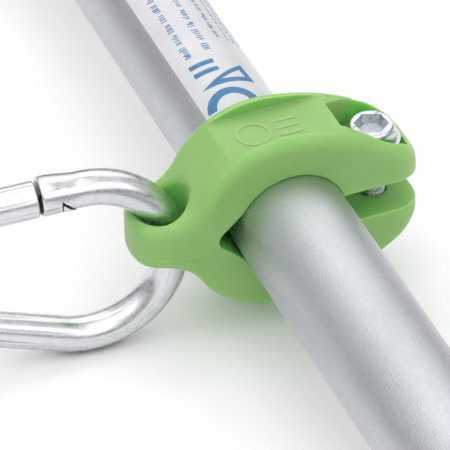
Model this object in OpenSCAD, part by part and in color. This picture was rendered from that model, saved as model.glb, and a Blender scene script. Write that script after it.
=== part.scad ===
// Moulded clamp collar for tethering a tubular tool handle.
// The collar grips a round aluminium tube, and a steel snap hook hangs in its ear.
// X runs from the snap hook to the clamp screw, Y along the tube, Z up.

/* [Tube] */
// Outside diameter of the tube
tube_d = 31.75; // [31.5:0.05:32]
// Wall thickness of the tube
tube_wall = 2.1; // [1.6:0.1:3]
// Length of the tube without its end plugs
tube_length = 610; // [560:10:700]
// Thickness of the cap that each end plug shows
plug_cap = 3; // [2:0.5:5]
// Length of the wrap-round sticker along the tube
sticker_length = 150; // [100:5:200]

/* [Collar] */
// Width of the collar along the tube
collar_width = 25; // [24:0.5:28]
// Radius of the round body about the tube
collar_r = 27.8; // [27.4:0.1:28.4]
// Radius of the ear about its hole
ear_r = 11; // [10.6:0.1:11.6]
// Radius of the hole through the ear
ear_hole_r = 7.3; // [7.2:0.05:7.5]
// Gap between the two clamp jaws
slit = 9.6; // [8:0.2:10]

/* [Clamp screw] */
// Diameter of the screw's shank
screw_d = 8; // [7.6:0.1:8]
// Diameter of the button head
head_d = 14; // [13:0.5:14]
// Size of the hexagon socket across its flats
socket_af = 8.2; // [5:0.2:8.4]

/* [Snap hook] */
// Radius of the steel rod
rod_r = 5; // [4.8:0.05:5]
// Radius of the rod's centre line round the wide eye
eye_r = 24; // [23.8:0.1:24.6]
// Overall length of the snap hook
hook_length = 120; // [116:1:126]
// Angle between the hook's long axis and each arm
arm_angle = 10.2; // [9.8:0.1:10.6]

/* [Hidden] */
$fn = 96;
eps = 0.01;
running_gap = 0.05;

tube_r = tube_d / 2;
tube_bore_r = tube_r - tube_wall;
sticker_thick = 0.12;
sticker_start = collar_width / 2 + 1.5;
sticker_from = 218;
sticker_to = 488;

// Collar outline: the round body, the ear and the sloping screw lug.
body_x = -1.5;
ear_x = -33;
ear_half = 7;
ear_fillet = 14;
ear_flare = 2.2;
ear_flare_depth = 4;
lug_arc_r = 65;
lug_arc_from = 84.3;
lug_end_x = 40.4;
lug_corner = 4;
lug_plan_corner = 9;
flank_lean = 7.8;
screw_x = 28.8;
pad_z = 23.8;
pad_left = -17.5;
pad_half = 9;
notch_tip_x = -17.9;
notch_tip_r = 3.3;
notch_half_angle = 41.5;
notch_mouth_x = -8;
hole_play = 0.3;

// Clamp screw stack, from the pocket floor upwards.
pocket_floor = 10.9;
pocket_left = 17.4;
pocket_left_half = 5.4;
pocket_half = 11.3;
pocket_right = 36.6;
washer_r = 8.2;
washer_thick = 1.6;
head_height = 4.7;
head_base_z = pocket_floor + washer_thick;
socket_turn = -22.7;
socket_depth = 3.4;
washer_play = 0.2;
nut_play = 0.1;
nut_af = 13;
nut_top_z = -12.5;
nut_height = 6.5;
lock_ring_height = 1.5;
screw_tip_z = nut_top_z - nut_height - lock_ring_height - 2;

// Snap hook: a pear of rod, wide at the eye and narrow at the hinge.
eye_centre = [-55.1, 1.2, -5.4];
hook_yaw = 5;
hook_lean = 3;
hook_pitch = 8.3;
narrow_shift = sin(arm_angle);
eye_to_narrow = (hook_length - 2 * eye_r - 2 * rod_r) / (1 - narrow_shift);
narrow_r = eye_r - eye_to_narrow * narrow_shift;
arm_length = eye_to_narrow * cos(arm_angle);
nose_end = 11.2;
nose_r = 5.6;
nose_rise = 0.5;
gate_r = 5.2;
gate_start = nose_end + 0.5;
hinge_s = arm_length - 6;
rivet_r = 2;
tang_half = 2;
fork_half = 2.3;
cam_face = 4;
fork_depth = 6;
plunger_r = 1.92;
plunger_length = 8;
plunger_tip = hinge_s - cam_face - 0.15;
spring_wire_r = 0.3;
spring_coil_r = 1.5;
spring_turns = 9;
spring_length = 13;
spring_end = plunger_tip - plunger_length - spring_wire_r - 0.05;
barb_from = -0.6;
barb_to = 5.8;
barb_top = 0.7;
barb_gap = 0.35;
tongue_half = 1.5;
tongue_low = 4.4;

// The object stands on its lowest point, with the origin under the middle of its box.
hook_low = eye_centre[2] - eye_r * cos(hook_lean) - rod_r;
hook_far_x = eye_centre[0]
  - cos(hook_yaw) * cos(hook_pitch) * eye_to_narrow - narrow_r - rod_r;
lift = -hook_low;
shift = -(lug_end_x + hook_far_x) / 2;

// Points on an arc from angle a to angle b.
function arc(cx, cy, r, a, b, n = 24) =
  [for (i = [0:n]) let (t = a + (b - a) * i / n) [cx + r * cos(t), cy + r * sin(t)]];

// Centre of the concave fillet between the ear's flat and the round body.
fillet_z = ear_half + ear_fillet;
fillet_x = body_x - sqrt(pow(collar_r + ear_fillet, 2) - pow(fillet_z, 2));
fillet_angle = atan2(fillet_z, fillet_x - body_x);
// Centre of the long arc over the screw lug, tangent to the round body.
lug_arc_x = body_x + (collar_r - lug_arc_r) * cos(lug_arc_from);
lug_arc_z = (collar_r - lug_arc_r) * sin(lug_arc_from);
corner_x = lug_end_x - lug_corner;
corner_z = lug_arc_z + sqrt(pow(lug_arc_r - lug_corner, 2) - pow(corner_x - lug_arc_x, 2));
corner_angle = atan2(corner_z - lug_arc_z, corner_x - lug_arc_x);

function upper_outline() = concat(
  arc(ear_x - ear_r + 3, ear_half - 3, 3, 180, 90, 8),
  arc(fillet_x, fillet_z, ear_fillet, 270, 180 + fillet_angle, 16),
  arc(body_x, 0, collar_r, fillet_angle, lug_arc_from, 32),
  arc(lug_arc_x, lug_arc_z, lug_arc_r, lug_arc_from, corner_angle, 24),
  arc(corner_x, corner_z, lug_corner, corner_angle, 0, 8)
);
function mirrored(points) =
  [for (i = [len(points) - 1:-1:0]) [points[i][0], -points[i][1]]];

module placed() {
  translate([shift, 0, lift])
    children();
}

// A shape drawn in X and Z, extruded along Y about the middle plane.
module along_y(length) {
  rotate([90, 0, 0])
    translate([0, 0, -length / 2])
      linear_extrude(length)
        children();
}

module y_cylinder(r, y_from, y_to) {
  translate([0, y_from, 0])
    rotate([-90, 0, 0])
      cylinder(r = r, h = y_to - y_from);
}

module tube() {
  color([0.78, 0.79, 0.80])
    placed()
      difference() {
        y_cylinder(tube_r, -tube_length / 2, tube_length / 2);
        y_cylinder(tube_bore_r, -tube_length / 2 - 1, tube_length / 2 + 1);
      }
}

module tube_sticker() {
  color([0.93, 0.93, 0.94])
    placed()
      translate([0, sticker_start + sticker_length, 0])
        rotate([90, 0, 0])
          rotate([0, 0, 360 - sticker_to])
            rotate_extrude(angle = sticker_to - sticker_from)
              translate([tube_r, 0])
                square([sticker_thick, sticker_length]);
}

// An end plug: a cap as wide as the tube, with a ribbed stem pressed inside.
module end_plug() {
  stem = 24;
  stem_play = 1;
  ribs = 4;
  rib_width = 1.5;
  rib_pitch = 5.5;
  y_cylinder(tube_r, 0, plug_cap);
  y_cylinder(tube_bore_r - stem_play, -stem, eps);
  for (i = [0:ribs - 1])
    translate([0, -stem + 2 * rib_width + i * rib_pitch, 0])
      y_cylinder(tube_bore_r, 0, rib_width);
}

module rear_plug() {
  color([0.12, 0.12, 0.13])
    placed()
      translate([0, tube_length / 2, 0])
        end_plug();
}

module front_plug() {
  color([0.12, 0.12, 0.13])
    placed()
      mirror([0, 1, 0])
        translate([0, tube_length / 2, 0])
          end_plug();
}

module collar_plan() {
  flank_y = collar_width / 2;
  lean_angle = 90 + flank_lean;
  lean_x = ear_x + ear_r * cos(lean_angle);
  lean_y = ear_r * sin(lean_angle);
  flank_x = lean_x + (flank_y - lean_y) / tan(flank_lean);
  corner_y = flank_y - lug_plan_corner;
  half = concat(
    arc(ear_x, 0, ear_r, 180, lean_angle, 20),
    [[flank_x, flank_y]],
    arc(lug_end_x - lug_plan_corner, corner_y, lug_plan_corner, 90, 0, 16)
  );
  polygon(concat(half, mirrored(half)));
}

module relief_notch() {
  mouth_half = (notch_tip_r + (notch_mouth_x - notch_tip_x) * sin(notch_half_angle))
    / cos(notch_half_angle);
  along_y(collar_width + 2)
    polygon(concat(
      arc(notch_tip_x, 0, notch_tip_r, 90 + notch_half_angle, 270 - notch_half_angle, 12),
      [[notch_mouth_x, -mouth_half], [notch_mouth_x, mouth_half]]
    ));
}

// The screw's pocket: six-sided, widest beside the screw, and shallow at its right end.
module screw_pocket() {
  slope = (pocket_half - pocket_left_half) / (screw_x - pocket_left);
  right_half = pocket_half - slope * (pocket_right - screw_x);
  half = [
    [pocket_left, pocket_left_half], [screw_x, pocket_half], [pocket_right, right_half]
  ];
  translate([0, 0, pocket_floor])
    linear_extrude(20)
      polygon(concat(half, mirrored(half)));
}

// The hole through the ear, opened out at both ends.
module ear_opening() {
  translate([ear_x, 0, 0]) {
    cylinder(r = ear_hole_r, h = 60, center = true);
    for (side = [0, 1])
      mirror([0, 0, side])
        translate([0, 0, ear_half - ear_flare_depth])
          cylinder(r1 = ear_hole_r, r2 = ear_hole_r + ear_flare, h = ear_flare_depth + eps);
  }
}

module collar() {
  outline = upper_outline();
  color([0.56, 0.80, 0.40])
    placed()
      difference() {
        intersection() {
          along_y(collar_width)
            polygon(concat(outline, mirrored(outline)));
          linear_extrude(80, center = true)
            collar_plan();
        }
        y_cylinder(tube_r + running_gap, -collar_width, collar_width);
        relief_notch();
        translate([0, -collar_width, -slit / 2])
          cube([60, 2 * collar_width, slit]);
        translate([pad_left, -pad_half, pad_z])
          cube([pocket_left - pad_left + 1, 2 * pad_half, 10]);
        screw_pocket();
        translate([screw_x, 0, -30])
          cylinder(r = screw_d / 2 + hole_play, h = 60);
        translate([screw_x, 0, -40])
          rotate(30)
            cylinder(d = (nut_af + nut_play) / cos(30), h = 40 + nut_top_z, $fn = 6);
        ear_opening();
      }
}

module screw_washer() {
  color([0.80, 0.81, 0.82])
    placed()
      translate([screw_x, 0, pocket_floor])
        difference() {
          cylinder(r = washer_r, h = washer_thick);
          translate([0, 0, -1])
            cylinder(r = screw_d / 2 + washer_play, h = washer_thick + 2);
        }
}

module clamp_nut() {
  color([0.80, 0.81, 0.82])
    placed()
      translate([screw_x, 0, nut_top_z - nut_height])
        difference() {
          rotate(30)
            cylinder(d = nut_af / cos(30), h = nut_height, $fn = 6);
          translate([0, 0, -1])
            cylinder(r = screw_d / 2 + running_gap, h = nut_height + 2);
        }
}

module nut_lock_ring() {
  color([0.25, 0.45, 0.75])
    placed()
      translate([screw_x, 0, nut_top_z - nut_height - lock_ring_height])
        difference() {
          cylinder(r = nut_af / 2 - 0.8, h = lock_ring_height);
          translate([0, 0, -1])
            cylinder(r = screw_d / 2 + running_gap, h = lock_ring_height + 2);
        }
}

// Button-head screw: a domed head with a flat crown and a hexagon socket.
module clamp_screw() {
  crown_r = 5.7;
  rim = 0.6;
  tip_chamfer = 1;
  color([0.82, 0.83, 0.84])
    placed()
      translate([screw_x, 0, 0])
        difference() {
          rotate_extrude()
            polygon(concat(
              [
                [0, screw_tip_z], [screw_d / 2 - tip_chamfer, screw_tip_z],
                [screw_d / 2, screw_tip_z + tip_chamfer], [screw_d / 2, head_base_z],
                [head_d / 2, head_base_z], [head_d / 2, head_base_z + rim]
              ],
              [for (t = [15:15:90])
                [
                  crown_r + (head_d / 2 - crown_r) * cos(t),
                  head_base_z + rim + (head_height - rim) * sin(t)
                ]],
              [[0, head_base_z + head_height]]
            ));
          translate([0, 0, head_base_z + head_height - socket_depth])
            rotate(socket_turn)
              cylinder(d = socket_af / cos(30), h = socket_depth + 1, $fn = 6);
        }
}

// The snap hook's own frame: X along the hook away from the eye, Z towards the gate.
module in_hook() {
  placed()
    translate(eye_centre)
      rotate([0, 0, 180 - hook_yaw])
        rotate([hook_lean, 0, 0])
          rotate([0, -hook_pitch, 0])
            children();
}

// The gate arm's frame: X along the arm from the end of the eye, Z outwards.
module gate_arm() {
  translate([eye_r * sin(arm_angle), 0, eye_r * cos(arm_angle)])
    rotate([0, arm_angle, 0])
      children();
}

module x_cylinder(r, x_from, x_to, r_end = -1) {
  translate([x_from, 0, 0])
    rotate([0, 90, 0])
      cylinder(r1 = r, r2 = r_end < 0 ? r : r_end, h = x_to - x_from);
}

// A bend of rod in the hook's plane, between two angles from its long axis.
module rod_bend(bend_r, from, to) {
  rotate([90, 0, 0])
    rotate([0, 0, from])
      rotate_extrude(angle = to - from)
        translate([bend_r, 0])
          circle(r = rod_r, $fn = 64);
}

// The catch cut across the nose: a wall on the hinge side and a ramp to the eye.
module catch_shape(inset, length) {
  rotate([90, 0, 0])
    translate([0, 0, -length / 2])
      linear_extrude(length)
        polygon([
          [barb_to - inset, barb_top - 1.6 * inset], [barb_to - inset, -6 + inset],
          [barb_from + 1.6 * inset, -6 + inset]
        ]);
}

// The bent rod, with a slight upset bead where each bend meets the straight arm.
module hook_rod() {
  joint_gap = 0.3;
  joint_r = rod_r + 0.08;
  eye_trim = joint_gap / eye_r * 180 / PI;
  narrow_trim = joint_gap / narrow_r * 180 / PI;
  rod_bend(eye_r, 90 - arm_angle, 270 + arm_angle - eye_trim);
  translate([eye_to_narrow, 0, 0])
    rod_bend(narrow_r, -90 + arm_angle + narrow_trim, 90 - arm_angle);
  mirror([0, 0, 1])
    gate_arm() {
      x_cylinder(rod_r, joint_gap, arm_length - joint_gap);
      for (s = [0, arm_length])
        translate([s, 0, 0])
          sphere(r = joint_r);
    }
}

module hook_body() {
  color([0.75, 0.76, 0.77])
    in_hook()
      difference() {
        union() {
          hook_rod();
          gate_arm() {
            translate([0, 0, nose_rise]) {
              x_cylinder(nose_r - 1, -1, 4, nose_r);
              x_cylinder(nose_r, 4, nose_end);
            }
            hinge_tang();
          }
        }
        gate_arm() {
          catch_shape(0, 30);
          translate([barb_from, -tongue_half - 0.3, -10])
            cube([30, 2 * tongue_half + 0.6, 10 + barb_top - 0.4]);
        }
      }
}

// The flat tongue of the body that the gate's fork straddles.
module hinge_tang() {
  intersection() {
    translate([hinge_s, 0, 0])
      rotate([90, 0, 0])
        translate([0, 0, -tang_half])
          linear_extrude(2 * tang_half)
            difference() {
              translate([-cam_face, -cam_face])
                square([cam_face + 8, 2 * cam_face]);
              circle(r = rivet_r);
            }
    x_cylinder(rod_r, 0, 200);
  }
}

module hinge_rivet() {
  head_r = 3;
  head_from = 4.6;
  head_to = 5.3;
  color([0.62, 0.63, 0.65])
    in_hook()
      gate_arm()
        translate([hinge_s, 0, 0])
          rotate([90, 0, 0]) {
            cylinder(r = rivet_r, h = 2 * head_from, center = true);
            for (side = [0, 1])
              mirror([0, 0, side])
                translate([0, 0, head_from])
                  cylinder(r1 = head_r, r2 = head_r - 0.5, h = head_to - head_from);
          }
}

module hook_gate() {
  counterbore_r = 3.4;
  counterbore_from = 4.3;
  color([0.80, 0.81, 0.82])
    in_hook()
      gate_arm() {
        difference() {
          intersection() {
            x_cylinder(gate_r, gate_start, hinge_s + gate_r);
            rotate([90, 0, 0])
              linear_extrude(20, center = true)
                union() {
                  translate([gate_start, -10])
                    square([hinge_s - gate_start, 20]);
                  translate([hinge_s, 0])
                    circle(r = gate_r);
                }
          }
          translate([hinge_s - fork_depth, -fork_half, -10])
            cube([20, 2 * fork_half, 20]);
          translate([hinge_s, 0, 0])
            rotate([90, 0, 0]) {
              cylinder(r = rivet_r + running_gap, h = 20, center = true);
              for (side = [0, 1])
                mirror([0, 0, side])
                  translate([0, 0, counterbore_from])
                    cylinder(r = counterbore_r, h = 3);
            }
          x_cylinder(plunger_r + 0.08, spring_end - spring_length - 0.6, hinge_s);
        }
        gate_tongue();
      }
}

// The thin tongue and its cross barb, which lies in the nose's catch.
module gate_tongue() {
  translate([barb_from + 1.2, -tongue_half, -tongue_low])
    cube([gate_start - barb_from, 2 * tongue_half, tongue_low]);
  intersection() {
    catch_shape(barb_gap, 9);
    x_cylinder(gate_r, 0, 20);
  }
}

module gate_plunger() {
  color([0.70, 0.71, 0.73])
    in_hook()
      gate_arm()
        x_cylinder(plunger_r, plunger_tip - plunger_length, plunger_tip);
}

// The coil spring behind the plunger, as one swept tube with square-cut ends.
module gate_spring() {
  sides = 6;
  facets = 8;
  steps = spring_turns * facets;
  turn = 360 / facets;
  start = spring_end - spring_length;
  function centre(t) =
    [start + spring_length * t / steps, spring_coil_r * cos(turn * t), spring_coil_r * sin(turn * t)];
  ring = [for (t = [0:steps]) for (k = [0:sides - 1])
    let (c = centre(t), a = 360 * k / sides, r = spring_wire_r)
    c + r * cos(a) * [0, cos(turn * t), sin(turn * t)] + r * sin(a) * [1, 0, 0]];
  walls = [for (t = [0:steps - 1]) for (k = [0:sides - 1]) for (half = [0, 1])
    let (a = t * sides + k, b = t * sides + (k + 1) % sides)
    half == 0 ? [a, b, b + sides] : [a, b + sides, a + sides]];
  ends = [
    [for (k = [sides - 1:-1:0]) k],
    [for (k = [0:sides - 1]) steps * sides + k]
  ];
  color([0.55, 0.56, 0.58])
    in_hook()
      gate_arm()
        polyhedron(points = ring, faces = concat(walls, ends));
}

tube();
tube_sticker();
front_plug();
rear_plug();
collar();
screw_washer();
clamp_nut();
nut_lock_ring();
clamp_screw();
hook_body();
hinge_rivet();
hook_gate();
gate_plunger();
gate_spring();
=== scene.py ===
import math

import bmesh
import bpy
import numpy as np
from mathutils import Matrix, Vector


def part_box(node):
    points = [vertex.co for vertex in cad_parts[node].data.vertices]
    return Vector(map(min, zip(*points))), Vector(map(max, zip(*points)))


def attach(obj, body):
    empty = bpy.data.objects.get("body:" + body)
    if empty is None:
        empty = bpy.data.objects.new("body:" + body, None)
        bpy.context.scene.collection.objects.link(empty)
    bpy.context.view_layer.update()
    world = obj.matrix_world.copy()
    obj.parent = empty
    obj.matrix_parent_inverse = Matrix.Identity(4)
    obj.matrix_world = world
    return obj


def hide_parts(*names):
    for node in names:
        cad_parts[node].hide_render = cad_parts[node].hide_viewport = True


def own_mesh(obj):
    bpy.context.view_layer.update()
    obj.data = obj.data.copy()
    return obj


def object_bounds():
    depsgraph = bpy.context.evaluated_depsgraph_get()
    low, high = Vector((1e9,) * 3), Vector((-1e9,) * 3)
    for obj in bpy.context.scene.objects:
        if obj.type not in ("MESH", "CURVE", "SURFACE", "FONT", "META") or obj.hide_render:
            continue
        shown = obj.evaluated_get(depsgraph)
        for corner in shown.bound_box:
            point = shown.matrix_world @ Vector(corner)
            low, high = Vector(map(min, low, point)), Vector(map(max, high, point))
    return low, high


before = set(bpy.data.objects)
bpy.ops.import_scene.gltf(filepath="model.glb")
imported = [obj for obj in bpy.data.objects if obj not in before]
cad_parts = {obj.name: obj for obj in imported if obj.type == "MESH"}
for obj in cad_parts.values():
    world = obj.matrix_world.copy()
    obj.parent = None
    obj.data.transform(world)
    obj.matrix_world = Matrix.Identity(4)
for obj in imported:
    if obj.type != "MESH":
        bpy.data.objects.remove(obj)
cad_lo, cad_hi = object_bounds()

# Shapes are drawn in millimetres in the collar's frame: the tube's axis is Y, through X = Z = 0.
MM = 0.001
tube_lo, tube_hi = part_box("tube")
AXIS = (tube_lo + tube_hi) / 2
COLLAR = Matrix.Translation(AXIS) @ Matrix.Scale(MM, 4)

TUBE_R = (tube_hi.x - tube_lo.x) / 2 / MM
TUBE_HALF = (tube_hi.y - tube_lo.y) / 2 / MM
BORE_R = TUBE_R - 2.1
SCREW_X = ((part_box("clamp_screw")[0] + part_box("clamp_screw")[1]) / 2 - AXIS).x / MM
EAR_X = -33
ROD_R = 5
EYE_R = 24
ARM_ANGLE = math.radians(10.2)
EYE_TO_NARROW = (120 - 2 * EYE_R - 2 * ROD_R) / (1 - math.sin(ARM_ANGLE))
NARROW_R = EYE_R - EYE_TO_NARROW * math.sin(ARM_ANGLE)
ARM_LENGTH = EYE_TO_NARROW * math.cos(ARM_ANGLE)
HINGE_S = ARM_LENGTH - 6
NOSE_END = 11.2

# The snap hook's frame has X along the hook from the eye's centre; the gate arm's has X towards the hinge.
HOOK = (
    COLLAR
    @ Matrix.Translation((-55.1, 1.2, -5.4))
    @ Matrix.Rotation(math.radians(175), 4, "Z")
    @ Matrix.Rotation(math.radians(3), 4, "X")
    @ Matrix.Rotation(math.radians(-8.3), 4, "Y")
)
ARM = (
    HOOK
    @ Matrix.Translation((EYE_R * math.sin(ARM_ANGLE), 0, EYE_R * math.cos(ARM_ANGLE)))
    @ Matrix.Rotation(ARM_ANGLE, 4, "Y")
)


# ---------------------------------------------------------------- distance fields


def meet(a, b, r=0.0):
    """The part inside both a and b, with its edge rounded to r."""
    inner = np.minimum(np.maximum(a, b) + r, 0)
    return inner + np.hypot(np.maximum(a + r, 0), np.maximum(b + r, 0)) - r


def join(a, b, r=0.0):
    """a and b together, with a fillet of r between them."""
    return -meet(-a, -b, r)


def cut(a, b, r=0.0):
    """a without b, with the edge of the cut rounded to r."""
    return meet(a, -b, r)


def polygon(points, u, v, closed=True):
    """Distance to a polygon. An open one is a half outline whose ends lie on v = 0."""
    best = np.inf
    sign = 1.0
    ends = points[1:] + points[:1]
    for i, ((ax, ay), (bx, by)) in enumerate(zip(points, ends)):
        ex, ey = bx - ax, by - ay
        if ay != by:
            between = (v >= ay) != (v >= by)
            sign = np.where(between & (u < ax + (v - ay) * ex / ey), -sign, sign)
        if closed or i < len(points) - 1:
            t = np.clip(((u - ax) * ex + (v - ay) * ey) / (ex * ex + ey * ey), 0, 1)
            best = np.minimum(best, (u - ax - ex * t) ** 2 + (v - ay - ey * t) ** 2)
    return sign * np.sqrt(best)


def hexagon(u, v, across_flats, turn=0.0):
    """Distance to a regular hexagon. At turn 0 two of its corners lie on the u axis."""
    angle = np.arctan2(v, u) - turn
    step = math.pi / 3
    folded = np.mod(angle, step) - step / 2
    return np.hypot(u, v) * np.cos(folded) - across_flats / 2


def arc(cx, cy, r, start, end, steps):
    """Points on an arc between two angles in degrees."""
    angles = [math.radians(start + (end - start) * i / steps) for i in range(steps + 1)]
    return [(cx + r * math.cos(t), cy + r * math.sin(t)) for t in angles]


def gradient(field, p):
    h = 0.02
    columns = []
    for axis in range(3):
        step = np.zeros(3)
        step[axis] = h
        ahead, behind = p + step, p - step
        columns.append((field(*ahead.T) - field(*behind.T)) / (2 * h))
    return np.stack(columns, 1)


def net_mesh(name, field, lo, hi, size, matrix):
    """A quad mesh on the zero surface of field, its vertices and normals taken from the field itself."""
    axes = [np.arange(a, b + size, size) + 0.137 * size for a, b in zip(lo, hi)]
    value = field(axes[0][:, None, None], axes[1][None, :, None], axes[2][None, None, :])
    value = np.broadcast_to(value, [len(a) for a in axes])
    cells = [n - 1 for n in value.shape]
    total = np.zeros([*cells, 3], np.float32)
    count = np.zeros(cells, np.float32)
    for axis in range(3):
        others = [a for a in range(3) if a != axis]
        for corner in range(4):
            offset = [0, 0, 0]
            offset[others[0]], offset[others[1]] = corner & 1, corner >> 1
            first = value[tuple(slice(o, o + n) for o, n in zip(offset, cells))]
            offset[axis] = 1
            second = value[tuple(slice(o, o + n) for o, n in zip(offset, cells))]
            hit = (first < 0) != (second < 0)
            total[..., axis] += np.where(hit, first / np.where(hit, first - second, 1), 0)
            for other in others:
                total[..., other] += hit * offset[other]
            count += hit
    used = count > 0
    index = np.full(cells, -1)
    index[used] = np.arange(used.sum())
    base = np.stack(np.nonzero(used), 1)
    points = np.array([a[0] for a in axes]) + size * (base + total[used] / count[used][:, None])

    faces = []
    for axis in range(3):
        u, v = (axis + 1) % 3, (axis + 2) % 3
        near, far = [slice(1, n) for n in cells], [slice(1, n) for n in cells]
        near[axis], far[axis] = slice(0, cells[axis]), slice(1, cells[axis] + 1)
        a, b = value[tuple(near)] < 0, value[tuple(far)] < 0
        where = np.stack(np.nonzero(a != b), 1)
        where[:, u] += 1
        where[:, v] += 1
        ring = []
        for du, dv in ((1, 1), (0, 1), (0, 0), (1, 0)):
            cell = where.copy()
            cell[:, u] -= du
            cell[:, v] -= dv
            ring.append(index[tuple(cell.T)])
        quads = np.stack(ring, 1)
        leaving = a[a != b]
        quads[~leaving] = quads[~leaving][:, ::-1]
        faces.append(quads)
    faces = np.concatenate(faces)

    for _ in range(4):
        slope = gradient(field, points)
        length = np.maximum(np.sum(slope * slope, 1), 0.05)
        move = np.clip(field(*points.T) / length, -size / 2, size / 2)
        points = points - slope * move[:, None]
    normals = gradient(field, points)
    normals /= np.maximum(np.linalg.norm(normals, axis=1), 1e-6)[:, None]

    turn = np.array(matrix.to_3x3())
    mesh = bpy.data.meshes.new(name)
    mesh.from_pydata(points @ turn.T + np.array(matrix.translation), [], faces.tolist())
    mesh.shade_smooth()
    mesh.normals_split_custom_set_from_vertices((normals @ turn.T / matrix.to_scale().x).tolist())
    return add(name, mesh)


# ---------------------------------------------------------------- direct meshes


def add(name, mesh):
    obj = bpy.data.objects.new(name, mesh)
    bpy.context.scene.collection.objects.link(obj)
    return obj


def soften(profile, r, steps=3):
    """A profile with each inner corner turned into a short arc of about r."""
    result = [profile[0]]
    for before, here, after in zip(profile, profile[1:], profile[2:]):
        here_v = Vector(here)
        back, ahead = Vector(before) - here_v, Vector(after) - here_v
        reach = min(r, back.length / 2.1, ahead.length / 2.1)
        start, end = here_v + back.normalized() * reach, here_v + ahead.normalized() * reach
        for i in range(steps + 1):
            t = i / steps
            point = start * (1 - t) ** 2 + here_v * (2 * t * (1 - t)) + end * t**2
            result.append((point.x, point.y))
    result.append(profile[-1])
    return result


def lathe(name, profile, matrix, sides=96):
    """A closed profile of (radius, height) points turned about the matrix's Z axis."""
    bm = bmesh.new()
    rings = []
    for r, z in profile:
        if r < 1e-6:
            rings.append([bm.verts.new((0, 0, z))] * sides)
            continue
        angles = [2 * math.pi * i / sides for i in range(sides)]
        rings.append([bm.verts.new((r * math.cos(a), r * math.sin(a), z)) for a in angles])
    hollow = profile[0][0] > 1e-6
    pairs = list(zip(rings, rings[1:] + rings[:1])) if hollow else list(zip(rings, rings[1:]))
    for low, high in pairs:
        for i in range(sides):
            j = (i + 1) % sides
            corners = []
            for vert in (low[i], low[j], high[j], high[i]):
                if vert not in corners:
                    corners.append(vert)
            if len(corners) > 2:
                bm.faces.new(corners)
    bmesh.ops.recalc_face_normals(bm, faces=bm.faces)
    bm.transform(matrix)
    mesh = bpy.data.meshes.new(name)
    bm.to_mesh(mesh)
    bm.free()
    mesh.shade_smooth()
    mesh.set_sharp_from_angle(angle=math.radians(32))
    return add(name, mesh)


def along(matrix, position=(0, 0, 0), axis="Z"):
    """The frame at position in matrix, with its Z axis turned to the named one."""
    turn = {
        "X": Matrix.Rotation(math.radians(90), 4, "Y"),
        "Y": Matrix.Rotation(math.radians(-90), 4, "X"),
        "Z": Matrix.Identity(4),
    }[axis]
    return matrix @ Matrix.Translation(position) @ turn


def flat_shapes(name, outlines, place, thickness, strips=None):
    """Thin raised shapes. Each outline is a list of (u, v) points, or a pair of rings, and place bends it."""
    bm = bmesh.new()
    for outline in outlines:
        if isinstance(outline, tuple):
            outer = [bm.verts.new((*p, 0)) for p in outline[0]]
            inner = [bm.verts.new((*p, 0)) for p in outline[1]]
            for i in range(len(outer)):
                j = (i + 1) % len(outer)
                bm.faces.new((outer[i], outer[j], inner[j], inner[i]))
        else:
            bm.faces.new([bm.verts.new((*p, 0)) for p in outline])
    if strips:
        for k in range(strips[0], strips[1]):
            geom = bm.verts[:] + bm.edges[:] + bm.faces[:]
            bmesh.ops.bisect_plane(bm, geom=geom, plane_co=(k, 0, 0), plane_no=(1, 0, 0))
    for face in bm.faces:
        face.normal_update()
        if face.normal.z < 0:
            face.normal_flip()
    extruded = bmesh.ops.extrude_face_region(bm, geom=bm.faces[:])["geom"]
    for vert in extruded:
        if isinstance(vert, bmesh.types.BMVert):
            vert.co.z += thickness
    for vert in bm.verts:
        vert.co = place(*vert.co)
    bmesh.ops.recalc_face_normals(bm, faces=bm.faces)
    mesh = bpy.data.meshes.new(name)
    bm.to_mesh(mesh)
    bm.free()
    return add(name, mesh)


def bar(u, v, width, height, r=0.3):
    """A rounded bar centred on (u, v)."""
    a, b = width / 2 - r, height / 2 - r
    return (
        arc(u + a, v + b, r, 0, 90, 4)
        + arc(u - a, v + b, r, 90, 180, 4)
        + arc(u - a, v - b, r, 180, 270, 4)
        + arc(u + a, v - b, r, 270, 360, 4)
    )


def ring(u, v, r, width, start=0, end=360, steps=64):
    """A band on an arc, as the outline going out along one side and back along the other."""
    outer = arc(u, v, r + width / 2, start, end, steps)
    inner = arc(u, v, r - width / 2, start, end, steps)
    if end - start == 360:
        return outer[:-1], inner[:-1]
    return outer + inner[::-1]


# ---------------------------------------------------------------- materials


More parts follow.
